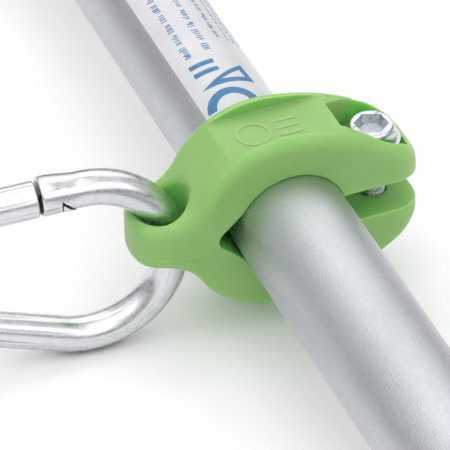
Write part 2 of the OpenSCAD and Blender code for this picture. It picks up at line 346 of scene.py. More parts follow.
class Paint:
    """A node material in the making."""

    def __init__(self, name, **sockets):
        self.material = bpy.data.materials.new(name)
        self.material.use_nodes = True
        self.tree = self.material.node_tree
        self.shader = self.tree.nodes["Principled BSDF"]
        self.coords = self.tree.nodes.new("ShaderNodeTexCoord").outputs["Object"]
        self.normal = None
        for key, value in sockets.items():
            self.shader.inputs[key.replace("_", " ")].default_value = value

    def stretched(self, scale, turn=(0, 0, 0), coords=None):
        """Coordinates turned and scaled, for grain that runs one way."""
        node = self.tree.nodes.new("ShaderNodeMapping")
        node.vector_type = "TEXTURE"
        node.inputs["Rotation"].default_value = turn
        node.inputs["Scale"].default_value = scale
        self.tree.links.new(coords or self.coords, node.inputs["Vector"])
        return node.outputs["Vector"]

    def noise(self, size, detail=3.0, roughness=0.5, coords=None):
        """Noise with features of about size metres."""
        node = self.tree.nodes.new("ShaderNodeTexNoise")
        node.inputs["Scale"].default_value = 1 / size
        node.inputs["Detail"].default_value = detail
        node.inputs["Roughness"].default_value = roughness
        self.tree.links.new(coords or self.coords, node.inputs["Vector"])
        return node.outputs["Fac"]

    def spots(self, size):
        node = self.tree.nodes.new("ShaderNodeTexVoronoi")
        node.inputs["Scale"].default_value = 1 / size
        self.tree.links.new(self.coords, node.inputs["Vector"])
        return node.outputs["Distance"]

    def scratches(self, size, length, turn):
        """Thin lines where stretched noise crosses its middle value."""
        fine = self.noise(size, 2.0, 0.6, self.stretched((length, 1, 1), turn))
        centred = self.maths("SUBTRACT", fine, 0.5)
        return self.range(self.maths("ABSOLUTE", centred), 0.0, 0.02, 1.0, 0.0)

    def maths(self, operation, a, b=None):
        node = self.tree.nodes.new("ShaderNodeMath")
        node.operation = operation
        for socket, value in zip(node.inputs, (a, b)):
            if value is None:
                continue
            if isinstance(value, (int, float)):
                socket.default_value = value
            else:
                self.tree.links.new(value, socket)
        return node.outputs[0]

    def range(self, value, low, high, to_low, to_high):
        node = self.tree.nodes.new("ShaderNodeMapRange")
        for i, number in enumerate((low, high, to_low, to_high)):
            node.inputs[i + 1].default_value = number
        self.tree.links.new(value, node.inputs["Value"])
        return node.outputs["Result"]

    def colours(self, value, *stops):
        """A colour ramp from (position, colour) stops."""
        node = self.tree.nodes.new("ShaderNodeValToRGB")
        ramp = node.color_ramp
        while len(ramp.elements) < len(stops):
            ramp.elements.new(1.0)
        for element, (position, colour) in zip(ramp.elements, stops):
            element.position = position
            element.color = (*colour, 1)
        self.tree.links.new(value, node.inputs["Fac"])
        return node.outputs["Color"]

    def mixed(self, colour, factor, tint, blend="MULTIPLY"):
        """Multiplies a colour by tint, or goes over to it with blend MIX, where factor is 1."""
        node = self.tree.nodes.new("ShaderNodeMix")
        node.data_type = "RGBA"
        node.blend_type = blend
        node.inputs[7].default_value = (*tint, 1)
        self.tree.links.new(factor, node.inputs[0])
        self.tree.links.new(colour, node.inputs[6])
        return node.outputs[2]

    def rims(self):
        """1 on sharp outer edges, from how the mesh turns there."""
        node = self.tree.nodes.new("ShaderNodeNewGeometry")
        return self.range(node.outputs["Pointiness"], 0.53, 0.6, 0.0, 1.0)

    def seam(self, height, half_width):
        """1 on a thin level line, as where two halves of a mould met."""
        node = self.tree.nodes.new("ShaderNodeSeparateXYZ")
        self.tree.links.new(self.coords, node.inputs["Vector"])
        away = self.maths("ABSOLUTE", self.maths("SUBTRACT", node.outputs["Z"], height))
        return self.range(away, half_width, 2 * half_width, 1.0, 0.0)

    def crevices(self, reach):
        """1 in gaps and corners narrower than about reach metres."""
        node = self.tree.nodes.new("ShaderNodeAmbientOcclusion")
        node.samples = 6
        node.inputs["Distance"].default_value = reach
        return self.range(node.outputs["AO"], 0.25, 0.7, 1.0, 0.0)

    def bump(self, height, strength, distance):
        node = self.tree.nodes.new("ShaderNodeBump")
        node.inputs["Strength"].default_value = strength
        node.inputs["Distance"].default_value = distance
        self.tree.links.new(height, node.inputs["Height"])
        if self.normal is not None:
            self.tree.links.new(self.normal, node.inputs["Normal"])
        self.normal = node.outputs["Normal"]

    def done(self, colour=None, roughness=None):
        if colour is not None:
            self.tree.links.new(colour, self.shader.inputs["Base Color"])
        if roughness is not None:
            self.tree.links.new(roughness, self.shader.inputs["Roughness"])
        if self.normal is not None:
            self.tree.links.new(self.normal, self.shader.inputs["Normal"])
        return self.material


def moulded_plastic(name, dark, middle, light, painted_rim_highlight, painted_recess_glow, subsurface):
    """Slightly translucent plastic, with a painted highlight on its rims and a painted glow of deeper,
    brighter green in its recesses.
    """
    p = Paint(name, IOR=1.5, Specular_IOR_Level=0.4)
    p.shader.inputs["Subsurface Weight"].default_value = subsurface
    p.shader.inputs["Subsurface Radius"].default_value = (0.4, 1.0, 0.3)
    p.shader.inputs["Subsurface Scale"].default_value = 0.005
    colour = p.colours(p.noise(0.02, 4.0), (0.3, dark), (0.5, middle), (0.72, light))
    colour = p.mixed(colour, p.range(p.noise(0.0012, 5.0), 0.55, 0.75, 0.0, 0.25), (0.86, 0.9, 0.8))
    # Painted glow: gaps and corners within about 13 mm go over towards a deep bright green. This stands in
    # for light passing through the thin plastic.
    colour = p.mixed(colour, p.maths("MULTIPLY", p.crevices(0.013), 0.75), painted_recess_glow, "MIX")
    # Painted highlight: sharp outer edges go over to a light yellow-green.
    colour = p.mixed(colour, p.rims(), painted_rim_highlight, "MIX")
    # The mould seam is a real raised line, made by the bump below. It is also painted a little lighter in the
    # rim colour, as a painted highlight.
    seam = p.seam(AXIS.z - 3 * MM, 0.00012)
    colour = p.mixed(colour, p.maths("MULTIPLY", seam, 0.3), painted_rim_highlight, "MIX")
    p.bump(seam, 0.25, 0.0001)
    marks = p.scratches(0.004, 6, (0.3, 0.2, 0.9))
    p.bump(p.noise(0.0004, 3.0), 0.12, 0.00005)
    p.bump(marks, 0.05, 0.00004)
    roughness = p.range(p.noise(0.006, 5.0, 0.6), 0.3, 0.7, 0.36, 0.5)
    return p.done(colour, roughness)


def blasted_aluminium(name):
    """Bead-blasted aluminium: a satin grey of small round dents, with a few rubbed lines along the tube."""
    p = Paint(name, Metallic=1.0)
    colour = p.colours(p.noise(0.03, 4.0), (0.3, (0.51, 0.525, 0.55)), (0.7, (0.56, 0.575, 0.605)))
    colour = p.mixed(colour, p.range(p.noise(0.0009, 4.0), 0.5, 0.7, 0.0, 0.3), (0.8, 0.81, 0.83))
    p.bump(p.noise(0.0022, 3.0), 0.08, 0.0003)
    p.bump(p.spots(0.0005), 0.5, 0.00013)
    p.bump(p.noise(0.00028, 3.0, 0.6), 0.5, 0.00011)
    p.bump(p.scratches(0.02, 12, (0, 0, 1.57)), 0.05, 0.00003)
    return p.done(colour, p.range(p.noise(0.002, 5.0), 0.3, 0.7, 0.35, 0.45))


def plated_steel(name, light=(0.72, 0.73, 0.75), grain=None, turn=(0, 0, 0), reach=0.0025):
    """Bright zinc plate with drawing lines, mottling, dull spots and painted shade in its crevices. The lines
    follow a named grain.
    """
    p = Paint(name, Metallic=1.0)
    if grain:
        node = p.tree.nodes.new("ShaderNodeAttribute")
        node.attribute_name = grain
        base = node.outputs["Vector"]
    else:
        base = p.coords
    drawn = p.stretched((24, 1, 1), turn, base)
    mottle = p.noise(0.003, 6.0, 0.65)
    lines = p.noise(0.0009, 5.0, 0.7, drawn)
    deep = p.noise(0.0016, 3.0, 0.5, p.stretched((40, 1, 1), turn, base))
    colour = p.colours(mottle, (0.3, tuple(c * 0.88 for c in light)), (0.6, light))
    colour = p.mixed(colour, p.range(lines, 0.52, 0.7, 0.0, 0.55), (0.66, 0.67, 0.71))
    colour = p.mixed(colour, p.range(deep, 0.6, 0.66, 0.0, 0.7), (0.42, 0.43, 0.48))
    colour = p.mixed(colour, p.range(p.spots(0.0022), 0.16, 0.05, 0.0, 0.35), (0.6, 0.6, 0.63))
    # Painted shade: gaps and corners within reach metres are darkened nearly to black.
    colour = p.mixed(colour, p.crevices(reach), (0.06, 0.06, 0.065))
    p.bump(mottle, 0.05, 0.0001)
    p.bump(lines, 0.22, 0.00008)
    p.bump(deep, 0.15, 0.0001)
    p.bump(p.noise(0.0005, 4.0), 0.15, 0.00005)
    roughness = p.range(mottle, 0.3, 0.7, 0.2, 0.36)
    return p.done(colour, roughness)


def sticker_film(name):
    p = Paint(name, IOR=1.5)
    p.shader.inputs["Coat Weight"].default_value = 0.3
    p.shader.inputs["Coat Roughness"].default_value = 0.25
    colour = p.colours(p.noise(0.012, 4.0), (0.3, (0.56, 0.56, 0.575)), (0.7, (0.61, 0.61, 0.62)))
    colour = p.mixed(colour, p.range(p.noise(0.0009, 5.0), 0.6, 0.72, 0.0, 0.3), (0.86, 0.86, 0.87))
    p.bump(p.noise(0.0009, 4.0), 0.1, 0.00006)
    return p.done(colour, p.range(p.noise(0.004, 4.0), 0.3, 0.7, 0.34, 0.46))


def printed_ink(name):
    p = Paint(name, IOR=1.5)
    colour = p.colours(
        p.noise(0.0012, 4.0), (0.32, (0.055, 0.205, 0.40)), (0.66, (0.03, 0.145, 0.31))
    )
    p.bump(p.noise(0.0005, 3.0), 0.1, 0.00003)
    return p.done(colour, p.range(p.noise(0.002, 3.0), 0.3, 0.7, 0.38, 0.5))


def plain_plastic(name, low, high):
    p = Paint(name, IOR=1.5)
    colour = p.colours(p.noise(0.004, 5.0), (0.3, low), (0.7, high))
    p.bump(p.noise(0.0005, 3.0), 0.2, 0.00008)
    p.bump(p.scratches(0.003, 8, (0, 0.4, 0.3)), 0.1, 0.00004)
    return p.done(colour, p.range(p.noise(0.003, 4.0), 0.3, 0.7, 0.42, 0.6))


def drawn_steel(name, light):
    p = Paint(name, Metallic=1.0)
    colour = p.colours(
        p.noise(0.0015, 5.0), (0.3, tuple(c * 0.75 for c in light)), (0.7, light)
    )
    p.bump(p.noise(0.0004, 3.0), 0.12, 0.00004)
    return p.done(colour, p.range(p.noise(0.001, 4.0), 0.3, 0.7, 0.22, 0.4))


GREENS = (0.235, 0.435, 0.13), (0.26, 0.465, 0.145), (0.285, 0.485, 0.16)
# The two colours after the greens are the painted rim highlight and the painted recess glow.
GREEN = moulded_plastic("collar_plastic", *GREENS, (0.40, 0.56, 0.20), (0.14, 0.54, 0.09), 0.8)
# On the pad relief, the painted rim highlight and painted recess glow are both the lightest green.
RELIEF_GREEN = moulded_plastic("relief_plastic", *GREENS, GREENS[2], GREENS[2], 0.0)
ALUMINIUM = blasted_aluminium("tube_aluminium")
# Each zinc plate below carries painted shade in its crevices; reach sets how wide.
HOOK_ZINC = plated_steel("hook_zinc", grain="grain")
GATE_ZINC = plated_steel("gate_zinc", (0.74, 0.75, 0.77), grain="grain")
SCREW_ZINC = plated_steel("screw_zinc", (0.66, 0.68, 0.71), turn=(0, 0, 0.4), reach=0.0008)
WASHER_ZINC = plated_steel("washer_zinc", (0.60, 0.61, 0.64), turn=(0, 0, 1.1))
NUT_ZINC = plated_steel("nut_zinc", (0.70, 0.71, 0.73), turn=(0, 1.57, 0))
FILM = sticker_film("sticker_film")
INK = printed_ink("sticker_ink")
BLACK = plain_plastic("plug_plastic", (0.012, 0.012, 0.013), (0.022, 0.022, 0.024))
NYLON = plain_plastic("nylon_ring", (0.03, 0.10, 0.34), (0.05, 0.15, 0.42))
RIVET_STEEL = drawn_steel("rivet_steel", (0.62, 0.62, 0.64))
SPRING_STEEL = drawn_steel("spring_steel", (0.50, 0.50, 0.52))


def place(obj, body, material, slot, *nodes):
    """Gives a piece its material and body, and hides the CAD nodes it stands in for. The slot is not used."""
    obj.data.materials.clear()
    obj.data.materials.append(material)
    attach(obj, body)
    if nodes:
        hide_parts(*nodes)
    return obj


# ---------------------------------------------------------------- collar

BODY_X, BODY_R = -1.5, 27.8
EAR_R, EAR_HALF, EAR_FILLET = 11, 7, 14
LUG_R, LUG_FROM, LUG_END, LUG_CORNER = 65, 84.3, 40.4, 4
PAD_Z, PAD_LEFT, PAD_HALF = 23.8, -17.5, 9
POCKET_FLOOR = 10.9
OUTER_FILLET = 3.4
BORE_PLAY, SLIT_HALF = 0.05, 4.8
NOTCH_TIP_X, NOTCH_MOUTH_X, NOTCH_R = -17.9, -8, 3.3
PAD_RIGHT = 18.4
POCKET_LEFT, POCKET_RIGHT, POCKET_HALF = 17.4, 36.6, 11.3
BOLT_HOLE_R, NUT_POCKET_AF, NUT_TOP = 4.3, 13.1, -12.5
EAR_HOLE_R, EAR_RIM = 7.3, 1.4

fillet_z = EAR_HALF + EAR_FILLET
fillet_x = BODY_X - math.sqrt((BODY_R + EAR_FILLET) ** 2 - fillet_z**2)
fillet_angle = math.degrees(math.atan2(fillet_z, fillet_x - BODY_X))
lug_x = BODY_X + (BODY_R - LUG_R) * math.cos(math.radians(LUG_FROM))
lug_z = (BODY_R - LUG_R) * math.sin(math.radians(LUG_FROM))
corner_x = LUG_END - LUG_CORNER
corner_z = lug_z + math.sqrt((LUG_R - LUG_CORNER) ** 2 - (corner_x - lug_x) ** 2)
corner_angle = math.degrees(math.atan2(corner_z - lug_z, corner_x - lug_x))
SIDE = (
    [(EAR_X - EAR_R, 0)]
    + arc(EAR_X - EAR_R + 3, EAR_HALF - 3, 3, 180, 90, 4)
    + arc(fillet_x, fillet_z, EAR_FILLET, 270, 180 + fillet_angle, 10)
    + arc(BODY_X, 0, BODY_R, fillet_angle, LUG_FROM, 18)
    + arc(lug_x, lug_z, LUG_R, LUG_FROM, corner_angle, 14)
    + arc(corner_x, corner_z, LUG_CORNER, corner_angle, 0, 6)
    + [(LUG_END, 0)]
)

FLANK, PLAN_CORNER, LEAN = 12.5, 9, 7.8
lean_x = EAR_X + EAR_R * math.cos(math.radians(90 + LEAN))
lean_y = EAR_R * math.sin(math.radians(90 + LEAN))
PLAN = (
    arc(EAR_X, 0, EAR_R, 180, 90 + LEAN, 14)
    + [(lean_x + (FLANK - lean_y) / math.tan(math.radians(LEAN)), FLANK)]
    + arc(LUG_END - PLAN_CORNER, FLANK - PLAN_CORNER, PLAN_CORNER, 90, 0, 12)
    + [(LUG_END, 0)]
)
POCKET_TILT, POCKET_COS = math.sin(math.radians(27.4)), math.cos(math.radians(27.4))
NOTCH_SIN, NOTCH_COS = math.sin(math.radians(41.5)), math.cos(math.radians(41.5))


def collar_field(x, y, z):
    side = np.abs(y)
    up = np.abs(z)
    d = meet(polygon(SIDE, x, up, False), polygon(PLAN, x, side, False), OUTER_FILLET)
    d = cut(d, np.hypot(x, z) - TUBE_R - BORE_PLAY, 0.5)
    d = cut(d, np.maximum(up - SLIT_HALF, -x), 0.3)
    run = x - NOTCH_TIP_X
    round_tip = run * NOTCH_COS + up * NOTCH_SIN < 0
    notch = np.where(round_tip, np.hypot(run, up), up * NOTCH_COS - run * NOTCH_SIN) - NOTCH_R
    d = cut(d, np.maximum(notch, x - NOTCH_MOUTH_X), 0.4)
    pad = meet(side - PAD_HALF, PAD_Z - z, 0.8)
    d = cut(d, np.maximum(pad, np.maximum(x - PAD_RIGHT, PAD_LEFT - x)), 0.3)
    leaning, rising = POCKET_TILT * (x - SCREW_X), POCKET_COS * (side - POCKET_HALF)
    pocket = meet(rising - leaning, rising + leaning, np.where(y > 0, 0.3, 3.0))
    pocket = meet(pocket, np.maximum(POCKET_LEFT - x, x - POCKET_RIGHT), 0.4)
    d = cut(d, meet(pocket, POCKET_FLOOR - z, 0.4), 0.5)
    bolt = np.hypot(x - SCREW_X, y)
    d = cut(d, bolt - BOLT_HOLE_R, 0.3)
    nut_pocket = hexagon(x - SCREW_X, y, NUT_POCKET_AF, math.pi / 6)
    d = cut(d, np.maximum(nut_pocket, z - NUT_TOP), 0.4)
    return cut(d, np.hypot(x - EAR_X, y) - EAR_HOLE_R, EAR_RIM)


collar = net_mesh("collar_moulding", collar_field, (-45, -13.5, -29), (41.5, 13.5, 29), 0.4, COLLAR)
place(collar, "clamp", GREEN, "collar_plastic", "collar")

# Faint raised marks on the pad, in a made-up pattern.
RELIEF_ROOT, RELIEF_RISE = 2.5, 0.12
marks = [ring(-6, 0, 4.6, 1.0)] + [bar(4, v, 7, 1.1, 0.5) for v in (3.2, 0, -3.2)]
relief = flat_shapes(
    "pad_relief",
    marks,
    lambda u, v, w: COLLAR @ Vector((u, v, PAD_Z - RELIEF_ROOT + w)),
    RELIEF_ROOT + RELIEF_RISE,
)
place(relief, "clamp", RELIEF_GREEN, "collar_plastic")

# ---------------------------------------------------------------- clamp screw stack

HEAD_BASE, HEAD_HEIGHT, HEAD_R, CROWN_R, HEAD_RIM = 12.5, 4.7, 7, 5.5, 0.6
TIP_Z = -22.5
PITCH, THREAD_ROOT_R, THREAD_DEPTH = 1.25, 3.32, 0.64
SOCKET_AF, SOCKET_TURN, SOCKET_DEPTH = 8.2, -22.7, 3.4
HEAD = (
    [(0, HEAD_BASE - 1), (HEAD_R - 1, HEAD_BASE - 1), (HEAD_R, HEAD_BASE), (HEAD_R, HEAD_BASE + HEAD_RIM)]
    + [
        (
            CROWN_R + (HEAD_R - CROWN_R) * math.cos(math.radians(t)),
            HEAD_BASE + HEAD_RIM + (HEAD_HEIGHT - HEAD_RIM) * math.sin(math.radians(t)),
        )
        for t in range(15, 91, 15)
    ]
    + [(0, HEAD_BASE + HEAD_HEIGHT)]
)


def screw_field(x, y, z):
    r = np.hypot(x, y)
    turn = np.arctan2(y, x) / (2 * math.pi)
    phase = np.abs(np.mod(z / PITCH - turn, 1) - 0.5) * 2
    thread = THREAD_ROOT_R + THREAD_DEPTH * np.clip(1.35 * phase - 0.1, 0, 1)
    start = np.clip((z - TIP_Z) / 1.2, 0, 1)
    shank = (r - np.minimum(thread, 3.0 + start)) * 0.85
    shank = meet(meet(shank, TIP_Z - z, 0.2), z - HEAD_BASE - 1)
    head = polygon(HEAD, r, z)
    head = meet(head, HEAD_BASE - z, 0.15)
    d = join(shank, head, 0.3)
    socket = hexagon(x, y, SOCKET_AF, math.radians(SOCKET_TURN))
    floor = HEAD_BASE + HEAD_HEIGHT - SOCKET_DEPTH - 0.35 * np.clip(1 - r / 4, 0, 1)
    return cut(d, np.maximum(socket, floor - z), 0.18)


screw_frame = COLLAR @ Matrix.Translation((SCREW_X, 0, 0))
screw = net_mesh("button_screw", screw_field, (-7.5, -7.5, -23), (7.5, 7.5, 17.7), 0.2, screw_frame)
place(screw, "screw", SCREW_ZINC, "screw_zinc", "clamp_screw")



def flat_ring(inner, outer, height, edge):
    """The closed profile of a flat ring with softened edges."""
    half = height / 2
    corners = [(inner, half), (inner, 0), (outer, 0), (outer, height), (inner, height), (inner, half)]
    return soften(corners, edge)[:-1]


washer_frame = along(COLLAR, (SCREW_X, 0, POCKET_FLOOR))
washer = lathe("plain_washer", flat_ring(4.2, 8.2, 1.6, 0.25), washer_frame, 128)
place(washer, "clamp", WASHER_ZINC, "washer_zinc", "screw_washer")

NUT_AF, NUT_HEIGHT, NUT_BORE_R = 13, 6.5, 4.05


def nut_field(x, y, z):
    r = np.hypot(x, y)
    half = NUT_HEIGHT / 2
    d = meet(hexagon(x, y, NUT_AF, math.pi / 6), np.abs(z) - half, 0.1)
    d = np.maximum(d, (r - 6.6 + (np.abs(z) - half) * 1.7) * 0.5)
    hole = np.maximum(NUT_BORE_R, 4.6 - (half - np.abs(z)))
    return cut(d, (r - hole) * 0.75, 0.05)


nut_frame = COLLAR @ Matrix.Translation((SCREW_X, 0, NUT_TOP - NUT_HEIGHT / 2))
nut = net_mesh("lock_nut", nut_field, (-8, -8, -3.7), (8, 8, 3.7), 0.2, nut_frame)
place(nut, "clamp", NUT_ZINC, "nut_zinc", "clamp_nut")

RING_HEIGHT = 1.5
ring_profile = flat_ring(NUT_BORE_R, 5.7, RING_HEIGHT, 0.3)
ring_frame = along(COLLAR, (SCREW_X, 0, NUT_TOP - NUT_HEIGHT - RING_HEIGHT))
lock_ring = lathe("nylon_lock_ring", ring_profile, ring_frame, 96)
place(lock_ring, "clamp", NYLON, "nylon_ring", "nut_lock_ring")

# ---------------------------------------------------------------- snap hook


def arm_place(x, z):
    """Distances along the gate arm and outwards from it, of a point in the hook's plane."""
    ex, ez = EYE_R * math.sin(ARM_ANGLE), EYE_R * math.cos(ARM_ANGLE)
    c, s = math.cos(ARM_ANGLE), math.sin(ARM_ANGLE)
    return (x - ex) * c - (z - ez) * s, (x - ex) * s + (z - ez) * c


# The saw-tooth catch in the nose, with a wall on the hinge side and a ramp towards the eye.
# The barb lies in it.
CATCH = [(5.8, 0.7), (5.8, -6), (-0.6, -6)]
BARB = [(5.5, -0.75), (5.5, -5.65), (0.55, -5.65)]


NOSE_TAPER, NOSE_RISE, NOSE_SWELL = 9, 0.5, 0.6
SLOT_FROM, SLOT_TO, SLOT_HALF = -0.6, 31.4, 1.8
TANG_HALF, TANG_REACH, RIVET_R = 2, 4, 2
GATE_GAP, GATE_R = 0.75, 5.2
FORK_HALF, FORK_DEPTH = 2.3, 6
COUNTERBORE_R, COUNTERBORE_FROM = 3.4, 4.3
SPRING_BORE_R, SPRING_BORE_FROM = 2, 41.1
TONGUE_FROM, TONGUE_HALF, TONGUE_LOW, BARB_HALF = 2.2, 1.5, 4.4, 4.5


def hook_field(x, y, z):
    spare = 0.6
    s, n = arm_place(x, z)
    low_s, low_n = arm_place(x, -z)
    eye = np.hypot(np.hypot(x, z) - EYE_R, y) - ROD_R
    eye = np.maximum(eye, np.where(z > 0, s, low_s) - spare)
    lower = np.hypot(low_n, y) - ROD_R
    lower = np.maximum(lower, np.maximum(-low_s, low_s - ARM_LENGTH) - spare)
    narrow = np.hypot(np.hypot(x - EYE_TO_NARROW, z) - NARROW_R, y) - ROD_R
    narrow = meet(narrow, np.where(z > 0, ARM_LENGTH - s, ARM_LENGTH - spare - low_s), 0.3)
    taper = np.clip(s / NOSE_TAPER, 0, 1)
    taper = taper * taper * (3 - 2 * taper)
    nose = np.hypot(y, n - NOSE_RISE * taper) - ROD_R - NOSE_SWELL * taper
    nose = np.maximum(meet(nose, s - NOSE_END, 0.7), -spare - s)
    d = np.minimum(np.minimum(eye, nose), np.minimum(lower, narrow))
    d = cut(d, polygon(CATCH, s, n), 0.12)
    slot = np.maximum(SLOT_FROM - s, s - SLOT_TO)
    slot = np.maximum(slot, np.maximum(np.abs(y) - SLOT_HALF, n - 0.3))
    d = cut(d, np.maximum(slot, -10 - n), 0.1)
    tang = meet(np.abs(n) - TANG_REACH, HINGE_S - TANG_REACH - s, 0.4)
    tang = meet(np.maximum(tang, s - HINGE_S - 8), np.abs(y) - TANG_HALF, 0.2)
    tang = np.maximum(tang, np.hypot(y, n) - ROD_R)
    tang = cut(tang, np.hypot(s - HINGE_S, n) - RIVET_R)
    return np.minimum(d, tang)


def gate_field(s, y, n):
    side = np.abs(y)
    start = NOSE_END + GATE_GAP
    rod = np.hypot(y, n) - GATE_R
    from_hinge = np.hypot(s - HINGE_S, n)
    end = np.where(s > HINGE_S, from_hinge, np.abs(n)) - GATE_R
    d = meet(meet(rod, start - s, 0.7), end, 0.3)
    d = cut(d, np.maximum(side - FORK_HALF, HINGE_S - FORK_DEPTH - s), 0.25)
    d = cut(d, from_hinge - 2.05, 0.1)
    d = cut(d, np.maximum(from_hinge - COUNTERBORE_R, COUNTERBORE_FROM - side), 0.15)
    bore = np.maximum(SPRING_BORE_FROM - s, s - HINGE_S)
    bore = np.maximum(np.hypot(y, n) - SPRING_BORE_R, bore)
    d = cut(d, bore, 0.1)
    tongue = meet(np.maximum(TONGUE_FROM - s, s - start - 1.2), side - TONGUE_HALF, 0.2)
    tongue = np.maximum(tongue, np.maximum(n, -TONGUE_LOW - n))
    barb = np.maximum(np.maximum(polygon(BARB, s, n), side - BARB_HALF), rod)
    return np.minimum(d, np.minimum(tongue, barb))


def rod_layout(x, y, z):
    """How far along the bent rod a point is, and its place across it."""
    s, n = arm_place(x, np.abs(z))
    eye_turn = math.pi / 2 - ARM_ANGLE - np.arctan2(np.abs(z), x)
    narrow_turn = math.pi / 2 - ARM_ANGLE - np.arctan2(np.abs(z), x - EYE_TO_NARROW)
    on_eye, on_narrow = s < 0, s > ARM_LENGTH
    past_arm = np.where(on_narrow, ARM_LENGTH + NARROW_R * narrow_turn, s)
    along_rod = np.where(on_eye, EYE_R * eye_turn, past_arm)
    eye_n, narrow_n = np.hypot(x, z) - EYE_R, np.hypot(x - EYE_TO_NARROW, z) - NARROW_R
    across = np.where(on_eye, eye_n, np.where(on_narrow, narrow_n, n))
    return np.stack([along_rod, y, np.sign(z) * (across + 12)], 1)


def lay_grain(obj, matrix, layout):
    """Stores where each vertex is along its rod, for the grain of the metal to follow."""
    to_local = matrix.inverted()
    local = np.array([to_local @ v.co for v in obj.data.vertices])
    grain = obj.data.attributes.new("grain", "FLOAT_VECTOR", "POINT")
    grain.data.foreach_set("vector", (layout(*local.T) * MM).astype(np.float32).ravel())


hook = net_mesh("hook_rod", hook_field, (-30, -7, -30), (92.5, 7, 31), 0.4, HOOK)
lay_grain(hook, HOOK, rod_layout)
place(hook, "snap_hook", HOOK_ZINC, "hook_zinc", "hook_body")
gate = net_mesh("gate_bar", gate_field, (1, -6, -6), (74.5, 6, 6), 0.25, ARM)
lay_grain(gate, ARM, lambda x, y, z: np.stack([x, y, z + 12], 1))
place(gate, "gate", GATE_ZINC, "gate_zinc", "hook_gate")

rivet_half = [(0, 5.3), (1.2, 5.28), (2.1, 5.15), (2.7, 4.95), (3.0, 4.6), (2, 4.6)]
rivet_profile = rivet_half + [(r, -z) for r, z in reversed(rivet_half)]
rivet = lathe("hinge_pin", rivet_profile, along(ARM, (HINGE_S, 0, 0), "Y"), 64)
place(rivet, "snap_hook", RIVET_STEEL, "rivet_steel", "hinge_rivet")

plunger_tip = HINGE_S - 4.15
plunger_profile = [(0, -8), (1.5, -8), (1.92, -7.6), (1.92, -2), (1.8, -1.9), (1.8, -1.6), (1.92, -1.5)]
plunger_profile += [(1.92, -0.7), (1.75, -0.35), (1.3, -0.1), (0, 0)]
plunger = lathe("spring_plunger", plunger_profile, along(ARM, (plunger_tip, 0, 0), "X"), 64)
place(plunger, "plunger", RIVET_STEEL, "spring_steel", "gate_plunger")


def coil(name, start, length, radius, wire, turns, matrix):
    """A coil spring about the X axis, with a round wire and domed ends."""
    sides, per_turn = 12, 40
    steps = turns * per_turn
    bm = bmesh.new()
    rings = []
    for k in range(-2, steps + 3):
        t = min(max(k, 0), steps)
        shrink = {-2: 0.3, -1: 0.8, steps + 1: 0.8, steps + 2: 0.3}.get(k, 1.0)
        a = 2 * math.pi * t / per_turn
        centre = Vector((start + length * t / steps, radius * math.cos(a), radius * math.sin(a)))
        outward = Vector((0, math.cos(a), math.sin(a)))
        forward = Vector((0, -math.sin(a), math.cos(a)))
        centre += forward * wire * 0.4 * (k - t)
        loop = []
        for i in range(sides):
            b = 2 * math.pi * i / sides
            offset = outward * math.cos(b) + Vector((1, 0, 0)) * math.sin(b)
            loop.append(bm.verts.new(matrix @ (centre + offset * wire * shrink)))
        rings.append(loop)
    for low, high in zip(rings, rings[1:]):
        for i in range(sides):
            j = (i + 1) % sides
            bm.faces.new((low[i], low[j], high[j], high[i]))
    bm.faces.new(rings[0])
    bm.faces.new(rings[-1])
    bmesh.ops.recalc_face_normals(bm, faces=bm.faces)
    mesh = bpy.data.meshes.new(name)
    bm.to_mesh(mesh)
    bm.free()
    mesh.shade_smooth()
    return add(name, mesh)


SPRING_LENGTH, PLUNGER_STROKE = 13, 1.7
spring_foot = plunger_tip - 8.35 - SPRING_LENGTH
spring = coil("gate_coil_spring", spring_foot, SPRING_LENGTH, 1.5, 0.29, 9, ARM)
place(spring, "gate", SPRING_STEEL, "spring_steel", "gate_spring")
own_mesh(spring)

# ---------------------------------------------------------------- tube, plugs and sticker

tube_profile = soften(
    [
        (BORE_R, 0),
        (BORE_R, -TUBE_HALF),
        (TUBE_R, -TUBE_HALF),
        (TUBE_R, TUBE_HALF),
        (BORE_R, TUBE_HALF),
        (BORE_R, 0),
    ],
    0.3,
)
tube = lathe("aluminium_tube", tube_profile[:-1], along(COLLAR, (0, 0, 0), "Y"), 256)
place(tube, "handle", ALUMINIUM, "tube_aluminium", "tube")

STEM_R = BORE_R - 1
plug_profile = [(0, -24), (STEM_R - 1, -24), (STEM_R, -23)]
for i in range(4):
    foot = -21 + 5.5 * i
    plug_profile += [(STEM_R, foot), (BORE_R - 0.2, foot + 0.2), (BORE_R - 0.05, foot + 0.8)]
    plug_profile += [(BORE_R - 0.2, foot + 1.3), (STEM_R, foot + 1.5)]
plug_profile += [(STEM_R, 0), (TUBE_R - 0.3, 0), (TUBE_R, 0.3), (TUBE_R, 1.8), (TUBE_R - 0.35, 2.5)]
plug_profile += [(TUBE_R - 1.2, 3), (10.5, 3), (10.1, 2.9), (9.8, 2.55), (9.2, 2.5), (0, 2.5)]
for name, node, end in (("rear_cap", "rear_plug", 1), ("front_cap", "front_plug", -1)):
    flip = Matrix.Scale(end, 4, (0, 1, 0))
    spot = COLLAR @ flip @ Matrix.Translation((0, TUBE_HALF, 0)) @ Matrix.Rotation(math.radians(-90), 4, "X")
    plug = lathe(name, plug_profile, spot, 128)
    if end < 0:
        plug.data.flip_normals()
    place(plug, "handle", BLACK, "plug_plastic", node)

STICKER_LO, STICKER_HI = 14.0, 164.0
STICKER_FROM, STICKER_TO = 218, 488
FILM_THICK = 0.12


def round_tube(radius):
    """Bends a flat (arc length, distance along the tube) layout round it. Arc length 0 is the top."""

    def bend(u, v, w):
        angle = math.pi / 2 - u / TUBE_R
        r = radius + w
        return COLLAR @ Vector((r * math.cos(angle), v, r * math.sin(angle)))

    return bend


